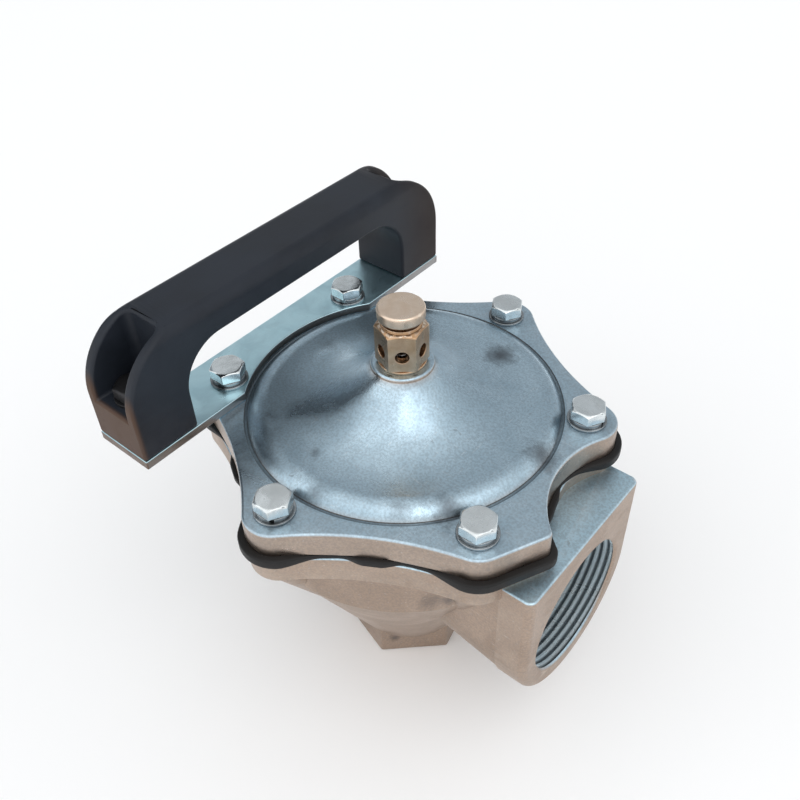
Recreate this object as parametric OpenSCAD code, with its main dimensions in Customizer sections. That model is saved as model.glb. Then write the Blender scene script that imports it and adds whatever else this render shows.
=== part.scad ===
// Right-angle quick exhaust valve with a diaphragm, a push-button pilot and a bridge handle.
// Millimetres. The origin is the centre of the bottom port's mouth.
// +Z runs up the valve's axis and +X points out of the side port.

/* [Body] */
// Height of the body from the bottom port's mouth to the flange face
body_h = 94.4; // [92:0.2:110]
// Thickness of the body's flange
body_flange_t = 8.8; // [8:0.2:12]
// Radius of the bowl under the flange
bowl_r = 53.8; // [52:0.1:53.9]
// Wall of the bowl, measured level
bowl_wall = 6.3; // [5:0.1:6.8]
// Distance from the flange face down to where the bowl starts to taper
bowl_taper_drop = 23; // [20:0.5:30]
// Radius of the bowl where it meets the foot
bowl_foot_r = 22; // [21.5:0.1:26]
// Width across the flats of the foot
foot_af = 42; // [40:0.1:48]
// Height of the foot
foot_h = 9; // [7:0.5:14]
// Turn of the foot's flats about the axis, degrees
foot_turn = 13.4; // [0:0.2:60]
// Height of the floor of the chamber round the seat tube
chamber_floor_h = 30; // [26:0.5:34]
// Distance from the flange face down to the foot of each bolt rib
rib_drop = 44.5; // [36:0.5:50]
// Radius of each bolt rib at its foot
rib_foot_r = 3; // [2:0.1:4]
// Chamfer at the mouths of both ports
mouth_chamfer = 0.8; // [0.4:0.1:1.2]

/* [Bottom port] */
// Radius of the bottom port's thread at its crests
bottom_port_r = 15.15; // [14.7:0.05:17]
// Length of the bottom port's thread
bottom_port_len = 19; // [14:0.5:24]
// Radius of the bore up the seat tube
tube_bore_r = 14.6; // [12:0.1:14.6]
// Wall of the seat tube
tube_wall = 4.9; // [3:0.1:5.5]
// Width of the flat lip that the pad seals on
seat_lip = 2.2; // [1.5:0.1:3]

/* [Side port] */
// Distance of the side port's face from the valve's axis
port_reach = 67.8; // [66:0.2:80]
// Distance of the side port's axis below the flange face
port_drop = 36.2; // [34:0.2:40]
// Radius of the side port's thread at its crests
port_r = 22.42; // [20.5:0.02:23]
// Length of the side port's thread
port_len = 19; // [14:0.5:19]
// Radius of the passage from the thread to the chamber
port_passage_r = 20; // [16:0.1:20]
// Half width of the port block at its mouth, and the radius of its round underside there
port_half_w = 29.4; // [28:0.1:31]
// Half width that the port block's taper would reach at the valve's axis
port_root_half_w = 24; // [22:0.1:27]
// Radius of the soft outer edge round the port's mouth
mouth_round = 2.6; // [1.5:0.1:3.2]
// Distance of the port block's flat top below the flange face
port_top_drop = 4.4; // [3:0.2:5]
// Length of the band round the port's mouth
port_band_len = 10.5; // [6:0.5:14]
// Height of that band above the block behind it
port_band_step = 0.4; // [0.2:0.1:1]

/* [Flange outline] */
// Radius of the bolt circle
bolt_ring_r = 55.75; // [55:0.25:58]
// Radius of the nose of each bolt lobe
lobe_r = 9.35; // [9:0.05:10]
// Radius of the hollow sweep between two lobes
sweep_r = 102; // [80:1:140]
// Distance of the ear's corner from the axis
ear_dist = 63.6; // [62:0.2:65]
// Angle of the ear's corner about the axis, degrees
ear_angle = -15.1; // [-17:0.1:-13]
// Radius of the ear's corner
ear_r = 2.5; // [1.5:0.1:4]
// Radius of the hollow sweep from the ear to the next lobe
ear_sweep_r = 31; // [28:0.5:36]

/* [Bonnet] */
// Thickness of the bonnet's flange
bonnet_flange_t = 9; // [7:0.1:10]
// Radius of the groove round the foot of the dome
dome_groove_r = 48.75; // [48.5:0.05:49.2]
// Depth of that groove
dome_groove_depth = 0.55; // [0.3:0.05:0.8]
// Radius of the section of the rolled bead round the dome
bead_r = 7; // [6:0.1:8]
// Height of the bead above the flange
bead_h = 3.2; // [2.8:0.1:3.6]
// Depth of the valley inside the bead
dome_valley_depth = 0.3; // [0.1:0.05:0.6]
// Radius of the hollow flare that rises to the neck
flare_r = 36; // [34:0.5:38]
// Wall of the dome
dome_wall = 4; // [3:0.1:4.6]
// Radius of the pressure chamber under the dome
bonnet_chamber_r = 45.5; // [44:0.1:46]
// Radius of the neck that carries the pilot
neck_r = 9.7; // [9.4:0.1:10]
// Height of the neck above the flange
neck_h = 17.2; // [17:0.1:19]
// Height of the spring's seat above the flange
spring_seat_h = 3; // [2.5:0.1:4]
// Radius of the land that holds the spring's seat
spring_land_r = 19; // [17.5:0.1:20]
// Radius of the recess round the poppet
poppet_recess_r = 9; // [7:0.1:10]
// Depth of that recess above the spring's seat
poppet_recess_depth = 6.2; // [6:0.1:7]

/* [Diaphragm and disc] */
// Thickness of the diaphragm
diaphragm_t = 1.4; // [1.2:0.1:2.4]
// Distance the diaphragm's edge stands out past the lobes
diaphragm_overhang = 2.2; // [1:0.1:3]
// Radius of the hollow sweep of the diaphragm's edge between two lobes
diaphragm_sweep_r = 68; // [60:1:90]
// Radius of the hollow sweep of the diaphragm's edge beside the ear
diaphragm_ear_sweep_r = 26; // [24:0.5:29]
// Depth of the dish from the clamped rim to the centre
dish_depth = 6; // [5:0.1:7]
// Radius of the disc on top of the diaphragm
disc_r = 22; // [20:0.1:24]
// Thickness of the disc
disc_t = 2; // [1.5:0.1:2.5]
// Radius of the sealing pad under the diaphragm
pad_r = 18.5; // [17.6:0.1:20]
// Thickness of the sealing pad
pad_t = 3; // [2:0.1:4]
// Radius of the bleed hole through the diaphragm
bleed_r = 0.8; // [0.5:0.1:1.5]
// Radius of the screw through the disc
disc_screw_r = 4; // [3:0.1:4]
// Width across the flats of that screw's head and nut
disc_nut_af = 13; // [12:0.1:14]
// Height of that screw's head
disc_head_h = 5; // [4:0.1:6]
// Height of the thin nut on that screw
disc_nut_h = 4; // [3:0.1:4.5]
// Length of thread that shows above that nut
disc_screw_end = 0.5; // [0.2:0.1:1]
// Radius of the closing spring at the middle of its wire
main_spring_r = 15.5; // [14:0.1:16.5]
// Diameter of the closing spring's wire
main_wire_d = 1.8; // [1.2:0.1:2]
// Turns of the closing spring
main_turns = 4; // [3:0.5:4.5]

/* [Cover bolts] */
// Diameter of the cover bolts
bolt_d = 6; // [5:0.1:6.4]
// Width across the flats of the bolt heads
bolt_af = 10; // [9:0.1:11]
// Height of the bolt heads
bolt_head_h = 3.8; // [3:0.1:4.5]
// Length of the four bolts that hold the bonnet alone
bolt_len = 20; // [18:0.5:22]
// Length of the two bolts that hold the strip as well
strip_bolt_len = 25; // [22:0.5:26]
// Outside diameter of the flat washers
washer_d = 12; // [11:0.1:13]
// Thickness of the flat washers
washer_t = 0.8; // [0.6:0.1:1.2]
// Outside diameter of the split washers
split_washer_d = 10.6; // [9.6:0.1:11]
// Thickness of the split washers
split_washer_t = 1.3; // [1:0.1:1.6]
// Width of the cut through each split washer
split_gap = 1.2; // [0.6:0.1:2]
// Depth of the tapped holes in the body
tapped_depth = 14; // [13:0.5:16]

/* [Handle] */
// Thickness of the strip that carries the handle
strip_t = 3; // [2:0.1:4]
// Length of the handle and its strip
handle_len = 135.6; // [128:0.2:150]
// Width of the handle and its strip
handle_w = 21.5; // [20:0.1:24]
// Distance of the handle's middle line from the valve's axis
handle_dist = 50.3; // [49.6:0.1:52]
// Height of the handle above its strip
handle_h = 37.3; // [36:0.1:46]
// Thickness of the grip
grip_t = 10.6; // [9:0.1:13]
// Radius of the handle's outer shoulders
shoulder_r = 22; // [14:0.2:23]
// Length of each leg along the handle
leg_len = 19.8; // [18:0.1:24]
// Radius inside the finger gap's upper corners
gap_corner_r = 14.4; // [6:0.2:18]
// Radius of the grip's long upper edges
grip_edge_r = 4; // [2:0.1:6]
// Thickness of the cheeks beside each screw pocket
cheek_t = 3.6; // [3:0.1:4.5]
// Thickness of the wall between a pocket and the finger gap
pocket_wall = 2.5; // [2:0.1:3]
// Height of the pocket's floor above the strip
pocket_floor_h = 14; // [10:0.1:18]
// Radius of the pocket's inner corners
pocket_corner_r = 3; // [1:0.1:5]
// Distance of each handle screw from the handle's end
screw_inset = 8.6; // [8:0.1:10]
// Diameter of the handle screws
screw_d = 6; // [5:0.1:6.4]
// Width across the flats of the handle screws' heads and nuts
screw_af = 10; // [9:0.1:11]
// Height of the handle screws' heads
screw_head_h = 4; // [3:0.1:5]
// Thickness of the washers under the handle screws
screw_washer_t = 1; // [0.6:0.1:1.5]
// Outside diameter of the washers under the handle screws
screw_washer_d = 12; // [11:0.1:13]
// Height of the nuts under the strip
screw_nut_h = 5; // [4:0.1:6]
// Length of thread that shows below those nuts
screw_tail = 1.5; // [0.5:0.1:3]

/* [Pilot] */
// Width across the flats of the pilot's hexagon
pilot_af = 14; // [13.6:0.1:15]
// Height of the pilot's hexagon
pilot_hex_h = 13; // [12:0.1:15]
// Turn of the pilot's flats about the axis, degrees
pilot_turn = 10; // [0:1:60]
// Radius of the pilot's threaded spigot
spigot_r = 5.9; // [5.4:0.05:6.2]
// Radius of the vent chamber inside the pilot
vent_r = 4.4; // [4.3:0.05:4.6]
// Radius of the vent holes in the hexagon's flats
vent_hole_r = 2.05; // [1.5:0.05:2.1]
// Height of the vent holes above the hexagon's base
vent_hole_h = 5.3; // [4.5:0.1:6]
// Length of the guide that the stem slides in, below the hexagon's top
guide_len = 4.3; // [3.5:0.1:5]
// Radius of the turned ring on top of the hexagon
ring_r = 6; // [5:0.1:6.4]
// Height of that ring
ring_h = 0.8; // [0.5:0.1:1.2]
// Radius of the push button
button_r = 7.1; // [6.6:0.05:7.6]
// Thickness of the push button
button_t = 3.7; // [3:0.1:5]
// Chamfer on both rims of the push button
button_chamfer = 0.5; // [0.2:0.1:1]
// Travel of the push button
button_travel = 1.3; // [0.8:0.1:1.5]
// Radius of the stem
stem_r = 1.9; // [1.6:0.05:2]
// Radius of the collar on the stem
collar_r = 3.4; // [3:0.05:3.6]
// Thickness of the collar on the stem
collar_t = 1.4; // [1:0.1:1.6]
// Depth to which the stem enters the button
stem_socket = 2.5; // [2:0.1:2.8]
// Radius of the pilot's orifice
orifice_r = 2.6; // [2.3:0.05:2.9]
// Thickness of the pilot's seat
pilot_seat_t = 3; // [2:0.1:4]
// Radius of the poppet
poppet_r = 4.4; // [4.2:0.05:5]
// Thickness of the poppet
poppet_t = 2.5; // [2:0.1:2.8]
// Width across the flats of the poppet's nut
poppet_nut_af = 7; // [6:0.1:8]
// Height of the poppet's nut
poppet_nut_h = 2.6; // [2:0.1:2.8]
// Thickness of the gasket under the hexagon
pilot_gasket_t = 0.8; // [0.5:0.1:1.2]
// Radius of that gasket
pilot_gasket_r = 7.4; // [7:0.1:8]
// Diameter of the button spring's wire
button_wire_d = 0.6; // [0.4:0.05:0.7]
// Turns of the button spring
button_turns = 6; // [5:0.5:8]

/* [Fits] */
// Gap round a bolt that passes through a clearance hole
bolt_gap = 0.3; // [0.2:0.05:0.5]
// Gap between a screw and the thread that it fills
thread_gap = 0.05; // [0.02:0.01:0.1]
// Gap round the sliding stem
slide_gap = 0.05; // [0.02:0.01:0.1]
// Gap between pieces that seal or rest on each other and then move apart
seal_gap = 0.05; // [0.02:0.01:0.1]
// Chamfer on the corners of bolt heads and nuts, degrees
head_chamfer = 30; // [20:1:40]

/* [Hidden] */
$fn = 96;

cast_grey = [0.74, 0.74, 0.73];
plated_steel = [0.74, 0.79, 0.80];
bright_zinc = [0.80, 0.82, 0.81];
black_steel = [0.13, 0.13, 0.14];
brass = [0.72, 0.58, 0.44];
black_plastic = [0.10, 0.11, 0.13];
black_rubber = [0.07, 0.07, 0.07];
spring_steel = [0.62, 0.63, 0.65];

lobe_count = 6;
lobe_pitch = 360 / lobe_count;
first_bolt = lobe_pitch / 2;
all_bolts = [0 : lobe_count - 1];
strip_bolts = [2, 3];
plain_bolts = [0, 1, 4, 5];
cut = 1;
crossing = 0.02;
coil_sides = 8;
coil_steps = 20;
close_turn_rise = 1.06;
head_face_share = 0.9;
split_turn = 77;
rib_lean = 1;
rib_sink = 0.6;
rib_top_drop = 5;
foot_rise = 6;
passage_gap = 4.5;

bonnet_z = body_h + diaphragm_t;
deck_z = bonnet_z + bonnet_flange_t;
strip_z = deck_z + strip_t;
port_z = body_h - port_drop;
port_top_z = body_h - port_top_drop;
taper_z = body_h - bowl_taper_drop;
bowl_slope = (bowl_r - bowl_foot_r) / (taper_z - foot_h);
chamber_r = bowl_r - bowl_wall;
chamber_floor_r = bowl_foot_r + bowl_slope * (chamber_floor_h - foot_h) - bowl_wall;
tube_r = tube_bore_r + tube_wall;
lip_r = tube_bore_r + seat_lip;

dish_z = body_h - dish_depth;
dish_top_z = dish_z + diaphragm_t;
disc_top_z = dish_top_z + disc_t;
pad_z = dish_z - pad_t;
seat_z = pad_z - seal_gap;
spring_seat_z = deck_z + spring_seat_h;
flat_r = disc_r + disc_t;
web_r = bonnet_chamber_r - diaphragm_t / 2;
rib_foot_z = body_h - rib_drop;
washer_stack = washer_t + split_washer_t;
bead_y = bead_h - bead_r;
bead_x = dome_groove_r - dome_groove_depth - sqrt(bead_r * bead_r - bead_y * bead_y);
flare_y = bead_h - dome_valley_depth + flare_r;
flare_x = bead_x - sqrt(pow(flare_r + bead_r, 2) - pow(flare_y - bead_y, 2));
bead_join_x = bead_x + (flare_x - bead_x) * bead_r / (flare_r + bead_r);

neck_z = deck_z + neck_h;
hex_z = neck_z + pilot_gasket_t;
hex_top_z = hex_z + pilot_hex_h;
ring_z = hex_top_z + ring_h;
spigot_z = spring_seat_z + poppet_recess_depth;
vent_top_z = hex_top_z - guide_len;
button_z = ring_z + button_travel + seal_gap;
pilot_seat_z = spigot_z + pilot_seat_t;
collar_z = vent_top_z - collar_t - seal_gap;
poppet_z = spigot_z - seal_gap - poppet_t;
stem_z = poppet_z - poppet_nut_h;

handle_x = -handle_dist;
screw_y = handle_len / 2 - screw_inset;
pocket_z = strip_z + pocket_floor_h;
pocket_len = leg_len - pocket_wall;

// Centre of the hole with the given number round the flange
function bolt_at(i) = bolt_ring_r * [cos(first_bolt + i * lobe_pitch), sin(first_bolt + i * lobe_pitch)];

// Height of the face that the washers of the bolt with the given number sit on
function bolt_seat_z(i) = i == strip_bolts[0] || i == strip_bolts[1] ? strip_z : deck_z;

// Centre of a circle of radius r that touches circles a and b from outside, on the right of a to b
function sweep_centre(a, ra, b, rb, r) =
    let (d = norm(b - a), u = (b - a) / d, p = r + ra, q = r + rb)
    let (along = (p * p - q * q + d * d) / (2 * d), off = sqrt(p * p - along * along))
    a + along * u + off * [u[1], -u[0]];

// Point of circle a that faces point p
function facing(a, ra, p) = a + ra * (p - a) / norm(p - a);

// Direction of the line that touches circles a and b on the right of a to b
function tangent_dir(a, ra, b, rb) =
    let (d = norm(b - a), turn = acos((ra - rb) / d), base = atan2(b[1] - a[1], b[0] - a[0]))
    [cos(base - turn), sin(base - turn)];

// Six-lobed flange with one ear, its lobes moved out by grow, with the given hollows between them
module flange_outline(grow, sweep, ear_sweep) {
    nose = lobe_r + grow;
    ear = ear_r + grow;
    ear_c = ear_dist * [cos(ear_angle), sin(ear_angle)];
    last = lobe_count - 1;
    sweeps = [for (i = [0 : last - 1]) sweep_centre(bolt_at(i), nose, bolt_at(i + 1), nose, sweep)];
    ear_centre = sweep_centre(ear_c, ear, bolt_at(0), nose, ear_sweep);
    side = tangent_dir(bolt_at(last), nose, ear_c, ear);
    rim = concat(
        [for (i = [0 : last - 1]) each [facing(bolt_at(i), nose, sweeps[i]),
                                        facing(bolt_at(i + 1), nose, sweeps[i])]],
        [bolt_at(last) + nose * side, ear_c + ear * side],
        [facing(ear_c, ear, ear_centre), facing(bolt_at(0), nose, ear_centre)]);
    difference() {
        polygon(rim);
        for (c = sweeps) translate(c) circle(sweep + crossing, $fn = 240);
        translate(ear_centre) circle(ear_sweep + crossing);
    }
    for (i = [0 : last]) translate(bolt_at(i)) circle(nose);
    translate(ear_c) circle(ear);
}

// Copies the children to the holes with the given numbers
module at_bolts(numbers) {
    for (i = numbers) translate(bolt_at(i)) children();
}

// Copies the children to both handle screws
module at_screws() {
    for (side = [-1, 1]) translate([handle_x, side * screw_y]) children();
}

// Hexagonal prism with its upper corners, and if wanted its lower ones, turned down
module hex_head(af, h, both_ends = false) {
    wide = af / sqrt(3) + cut;
    face = head_face_share * af / 2;
    drop = (wide - face) * tan(head_chamfer);
    intersection() {
        cylinder(h = h, r = af / sqrt(3), $fn = 6);
        rotate_extrude() polygon(concat(both_ends ? [[0, 0], [face, 0], [wide, drop]] : [[0, 0], [wide, 0]],
                                        [[wide, h - drop], [face, h], [0, h]]));
    }
}

// Cutter for a round hole right through a layer that stands on z = 0
module hole(layer_t, r) {
    translate([0, 0, -cut]) cylinder(h = layer_t + 2 * cut, r = r);
}

// Plain ring from its outer and inner radius and its height
module ring(outer, inner, h) {
    difference() {
        cylinder(h = h, r = outer);
        hole(h, inner);
    }
}

// Rectangle on the X axis with rounded upper corners
module arch(w, h, r) {
    translate([-w / 2, 0]) square([w, h - r]);
    translate([r - w / 2, 0]) square([w - 2 * r, h]);
    for (side = [-1, 1]) translate([side * (w / 2 - r), h - r]) circle(r);
}

// Coil spring with close end turns, standing on z = 0
module coil(mean_r, wire_d, length, turns) {
    wire_r = wire_d / 2;
    end_rise = wire_d * close_turn_rise;
    mid_rise = length - wire_d - 2 * end_rise;
    count = ceil(turns * coil_steps);
    lift = function (t) t < 1 ? t * end_rise
        : t > turns - 1 ? end_rise + mid_rise + (t - turns + 1) * end_rise
        : end_rise + mid_rise * (t - 1) / (turns - 2);
    points = [for (i = [0 : count], j = [0 : coil_sides - 1])
        let (t = turns * i / count, a = 360 * t, b = 360 * j / coil_sides)
        let (r = mean_r + wire_r * cos(b))
        [r * cos(a), r * sin(a), wire_r + lift(t) + wire_r * sin(b)]];
    walls = [for (i = [0 : count - 1], j = [0 : coil_sides - 1])
        let (k = (j + 1) % coil_sides, low = i * coil_sides, high = low + coil_sides)
        [low + j, low + k, high + k, high + j]];
    first_cap = [for (j = [coil_sides - 1 : -1 : 0]) j];
    last_cap = [for (j = [0 : coil_sides - 1]) count * coil_sides + j];
    polyhedron(points, concat(walls, [first_cap, last_cap]), convexity = 10);
}

// Half plan of the port block from its inner line out, with the port's axis up the page
module port_profile(inner) {
    band_d = port_reach - port_band_len;
    polygon([[inner, 0], [port_root_half_w, 0], [port_half_w - port_band_step, band_d], [inner, band_d]]);
    translate([inner, band_d]) square([port_half_w - inner, port_band_len - mouth_round]);
    translate([inner, band_d]) square([port_half_w - mouth_round - inner, port_band_len]);
    translate([port_half_w - mouth_round, port_reach - mouth_round]) circle(mouth_round);
}

// Half section of the bowl's outside
module bowl_section() {
    polygon([[0, foot_h], [bowl_foot_r, foot_h], [bowl_r, taper_z], [bowl_r, body_h], [0, body_h]]);
}

// Half section of the chamber round and above the seat tube
module body_chamber_section() {
    polygon([[0, seat_z], [lip_r, seat_z], [tube_r, seat_z - (tube_r - lip_r)], [tube_r, chamber_floor_h],
             [chamber_floor_r, chamber_floor_h], [chamber_r, taper_z], [chamber_r, body_h + cut],
             [0, body_h + cut]]);
}

// Ribs that carry each bolt lobe down into the bowl
module bolt_ribs() {
    foot_r = bowl_foot_r + bowl_slope * (rib_foot_z - foot_h) - rib_foot_r - rib_sink;
    run = bolt_ring_r + rib_lean - foot_r;
    rise = body_h - rib_top_drop - rib_foot_z;
    for (i = [0 : lobe_count - 1])
        rotate([0, 0, first_bolt + i * lobe_pitch])
            translate([foot_r, 0, rib_foot_z])
                rotate([0, atan2(run, rise), 0])
                    cylinder(h = norm([run, rise]), r1 = rib_foot_r, r2 = lobe_r - rib_lean);
}

// The port block: straight sides under a flat top, a round underside and a band round its mouth
module port_block() {
    translate([0, 0, port_z]) {
        rotate([0, 90, 0]) rotate_extrude() port_profile(0);
        for (side = [0, 1]) mirror([0, side, 0]) rotate([0, 0, -90])
            linear_extrude(port_top_z - port_z) port_profile(-cut);
    }
}

// Side port from its chamfered mouth to the chamber
module port_bore() {
    mouth = port_reach - mouth_chamfer;
    translate([0, 0, port_z]) rotate([0, 90, 0]) {
        translate([0, 0, mouth]) cylinder(h = mouth_chamfer, r1 = port_r, r2 = port_r + mouth_chamfer);
        translate([0, 0, mouth - port_len]) cylinder(h = port_len, r = port_r);
        translate([0, 0, tube_r + passage_gap])
            cylinder(h = mouth - port_len - tube_r - passage_gap + cut, r = port_passage_r);
    }
}

// Bottom port from its chamfered mouth up the seat tube
module bottom_bore() {
    cylinder(h = mouth_chamfer, r1 = bottom_port_r + mouth_chamfer, r2 = bottom_port_r);
    translate([0, 0, mouth_chamfer]) cylinder(h = bottom_port_len, r = bottom_port_r);
    cylinder(h = seat_z + cut, r = tube_bore_r);
}

module valve_body() {
    color(cast_grey) difference() {
        union() {
            rotate([0, 0, foot_turn - 30]) cylinder(h = foot_h + foot_rise, r = foot_af / sqrt(3), $fn = 6);
            rotate_extrude() bowl_section();
            translate([0, 0, body_h - body_flange_t]) linear_extrude(body_flange_t)
                flange_outline(0, sweep_r, ear_sweep_r);
            bolt_ribs();
            port_block();
        }
        rotate_extrude() body_chamber_section();
        bottom_bore();
        port_bore();
        at_bolts(all_bolts) translate([0, 0, body_h - tapped_depth])
            cylinder(h = tapped_depth + cut, r = bolt_d / 2 + thread_gap);
    }
}

// Half section of the dome: rolled bead, valley, hollow flare and neck
module dome_section() {
    difference() {
        square([bead_join_x, neck_h]);
        translate([flare_x, flare_y]) circle(flare_r, $fn = 240);
    }
    square([neck_r, neck_h]);
    difference() {
        translate([bead_x, bead_y]) circle(bead_r, $fn = 180);
        translate([0, -2 * bead_r]) square([bead_x + bead_r, 2 * bead_r]);
    }
}

// Half section of the pressure chamber under the dome
module bonnet_chamber_section() {
    difference() {
        translate([0, -bonnet_flange_t - cut]) square([bonnet_chamber_r, bonnet_flange_t + cut + neck_h]);
        translate([flare_x, flare_y]) circle(flare_r + dome_wall, $fn = 240);
        translate([0, spring_seat_h]) square([spring_land_r, flare_y]);
    }
}

module bonnet() {
    color(cast_grey) difference() {
        union() {
            translate([0, 0, bonnet_z]) linear_extrude(bonnet_flange_t)
                flange_outline(0, sweep_r, ear_sweep_r);
            translate([0, 0, deck_z]) rotate_extrude() dome_section();
        }
        translate([0, 0, deck_z]) rotate_extrude() bonnet_chamber_section();
        translate([0, 0, deck_z]) rotate_extrude() translate([dome_groove_r, 0]) circle(dome_groove_depth);
        translate([0, 0, spring_seat_z - cut]) cylinder(h = poppet_recess_depth + cut, r = poppet_recess_r);
        translate([0, 0, spigot_z]) hole(neck_z - spigot_z, spigot_r + thread_gap);
        at_bolts(all_bolts) translate([0, 0, bonnet_z]) hole(bonnet_flange_t, bolt_d / 2 + bolt_gap);
    }
}

// Half section of the dished middle of the diaphragm
module dish_section() {
    polygon([[0, dish_z], [flat_r, dish_z], [web_r, body_h], [web_r + cut, body_h], [web_r + cut, bonnet_z],
             [web_r, bonnet_z], [flat_r, dish_top_z], [0, dish_top_z]]);
}

module diaphragm() {
    color(black_rubber) difference() {
        union() {
            difference() {
                translate([0, 0, body_h]) linear_extrude(diaphragm_t)
                    flange_outline(diaphragm_overhang, diaphragm_sweep_r, diaphragm_ear_sweep_r);
                translate([0, 0, body_h]) hole(diaphragm_t, web_r);
            }
            rotate_extrude() dish_section();
        }
        translate([0, 0, dish_z]) hole(diaphragm_t, disc_screw_r + thread_gap);
        translate([(flat_r + web_r) / 2, 0, dish_z]) hole(bonnet_z - dish_z, bleed_r);
        at_bolts(all_bolts) translate([0, 0, body_h]) hole(diaphragm_t, bolt_d / 2 + bolt_gap);
    }
}

module upper_disc() {
    color(plated_steel) translate([0, 0, dish_top_z]) ring(disc_r, disc_screw_r + thread_gap, disc_t);
}

module seat_pad() {
    color(black_rubber) translate([0, 0, pad_z]) ring(pad_r, disc_screw_r + thread_gap, pad_t);
}

module disc_screw() {
    color(plated_steel) translate([0, 0, pad_z]) {
        mirror([0, 0, 1]) hex_head(disc_nut_af, disc_head_h);
        cylinder(h = disc_top_z + disc_nut_h + disc_screw_end - pad_z, r = disc_screw_r);
    }
}

module disc_nut() {
    color(plated_steel) translate([0, 0, disc_top_z]) nut(disc_nut_af, disc_nut_h, disc_screw_r + thread_gap);
}

module main_spring() {
    color(spring_steel) translate([0, 0, disc_top_z + seal_gap])
        coil(main_spring_r, main_wire_d, spring_seat_z - disc_top_z - 2 * seal_gap, main_turns);
}

// Bolt that hangs from the underside of its head
module bolt(d, af, head_h, len) {
    hex_head(af, head_h);
    translate([0, 0, -len]) cylinder(h = len, r = d / 2);
}

module cover_bolts() {
    color(bright_zinc) at_bolts(plain_bolts) translate([0, 0, deck_z + washer_stack])
        bolt(bolt_d, bolt_af, bolt_head_h, bolt_len);
}

module bracket_bolts() {
    color(bright_zinc) at_bolts(strip_bolts) translate([0, 0, strip_z + washer_stack])
        bolt(bolt_d, bolt_af, bolt_head_h, strip_bolt_len);
}

// Split ring whose cut faces the given angle
module split_ring(angle) {
    difference() {
        ring(split_washer_d / 2, bolt_d / 2 + bolt_gap, split_washer_t);
        rotate([0, 0, angle]) translate([0, -split_gap / 2, -cut])
            cube([split_washer_d, split_gap, split_washer_t + 2 * cut]);
    }
}

module spring_washers() {
    color(bright_zinc) for (i = all_bolts)
        translate([0, 0, bolt_seat_z(i) + washer_t]) at_bolts([i]) split_ring(i * split_turn);
}

module flat_washers() {
    color(bright_zinc) for (i = all_bolts)
        translate([0, 0, bolt_seat_z(i)]) at_bolts([i]) ring(washer_d / 2, bolt_d / 2 + bolt_gap, washer_t);
}

module handle_bracket() {
    color(plated_steel) translate([0, 0, deck_z]) difference() {
        translate([handle_x - handle_w / 2, -handle_len / 2, 0]) cube([handle_w, handle_len, strip_t]);
        hole(strip_t, dome_groove_r + dome_groove_depth, $fn = 240);
        at_bolts(strip_bolts) hole(strip_t, bolt_d / 2 + bolt_gap);
        at_screws() hole(strip_t, screw_d / 2 + bolt_gap);
    }
}

// Plan of a screw pocket, open at the handle's end
module pocket_plan() {
    translate([0, -cut]) arch(handle_w - 2 * cheek_t, pocket_len + cut, pocket_corner_r);
}

module handle() {
    gap_w = handle_len - 2 * leg_len;
    gap_h = handle_h - grip_t;
    color(black_plastic) difference() {
        intersection() {
            translate([handle_x - handle_w / 2, 0, strip_z]) rotate([90, 0, 90])
                linear_extrude(handle_w) arch(handle_len, handle_h, shoulder_r);
            translate([handle_x, handle_len / 2, strip_z]) rotate([90, 0, 0])
                linear_extrude(handle_len) arch(handle_w, handle_h, grip_edge_r);
        }
        translate([handle_x - handle_w / 2 - cut, 0, strip_z - cut]) rotate([90, 0, 90])
            linear_extrude(handle_w + 2 * cut) arch(gap_w, gap_h + cut, gap_corner_r);
        for (end = [0, 1]) mirror([0, end, 0])
            translate([handle_x, -handle_len / 2, pocket_z]) linear_extrude(handle_h) pocket_plan();
        at_screws() translate([0, 0, strip_z]) hole(pocket_floor_h, screw_d / 2 + bolt_gap);
    }
}

module handle_screws() {
    seat = pocket_z + screw_washer_t;
    color(black_steel) at_screws() translate([0, 0, seat])
        bolt(screw_d, screw_af, screw_head_h, seat - deck_z + screw_nut_h + screw_tail);
}

module handle_washers() {
    color(black_steel) at_screws() translate([0, 0, pocket_z])
        ring(screw_washer_d / 2, screw_d / 2 + bolt_gap, screw_washer_t);
}

// Nut that stands on z = 0
module nut(af, h, bore_r) {
    difference() {
        hex_head(af, h, true);
        hole(h, bore_r);
    }
}

module handle_nuts() {
    color(black_steel) at_screws() translate([0, 0, deck_z - screw_nut_h])
        nut(screw_af, screw_nut_h, screw_d / 2 + thread_gap);
}

module pilot_body() {
    color(brass) difference() {
        union() {
            translate([0, 0, spigot_z]) cylinder(h = hex_z - spigot_z, r = spigot_r);
            translate([0, 0, hex_z]) rotate([0, 0, pilot_turn - 30]) hex_head(pilot_af, pilot_hex_h);
            translate([0, 0, hex_z]) cylinder(h = pilot_hex_h + ring_h, r = ring_r);
        }
        translate([0, 0, spigot_z - cut]) cylinder(h = vent_top_z - spigot_z + cut, r = vent_r);
        translate([0, 0, vent_top_z]) hole(guide_len + ring_h, stem_r + slide_gap);
        translate([0, 0, hex_z + vent_hole_h]) for (flat = [0 : 5]) rotate([0, 0, pilot_turn + flat * 60])
            translate([stem_r, 0, 0]) rotate([0, 90, 0]) cylinder(h = pilot_af, r = vent_hole_r);
    }
}

module pilot_gasket() {
    color(brass) translate([0, 0, neck_z]) ring(pilot_gasket_r, spigot_r + thread_gap, pilot_gasket_t);
}

module pilot_seat() {
    color(brass) translate([0, 0, spigot_z]) ring(vent_r - thread_gap, orifice_r, pilot_seat_t);
}

// Half section of the push button, with both rims broken
module button_section() {
    polygon([[0, 0], [button_r - button_chamfer, 0], [button_r, button_chamfer],
             [button_r, button_t - button_chamfer], [button_r - button_chamfer, button_t], [0, button_t]]);
}

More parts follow.
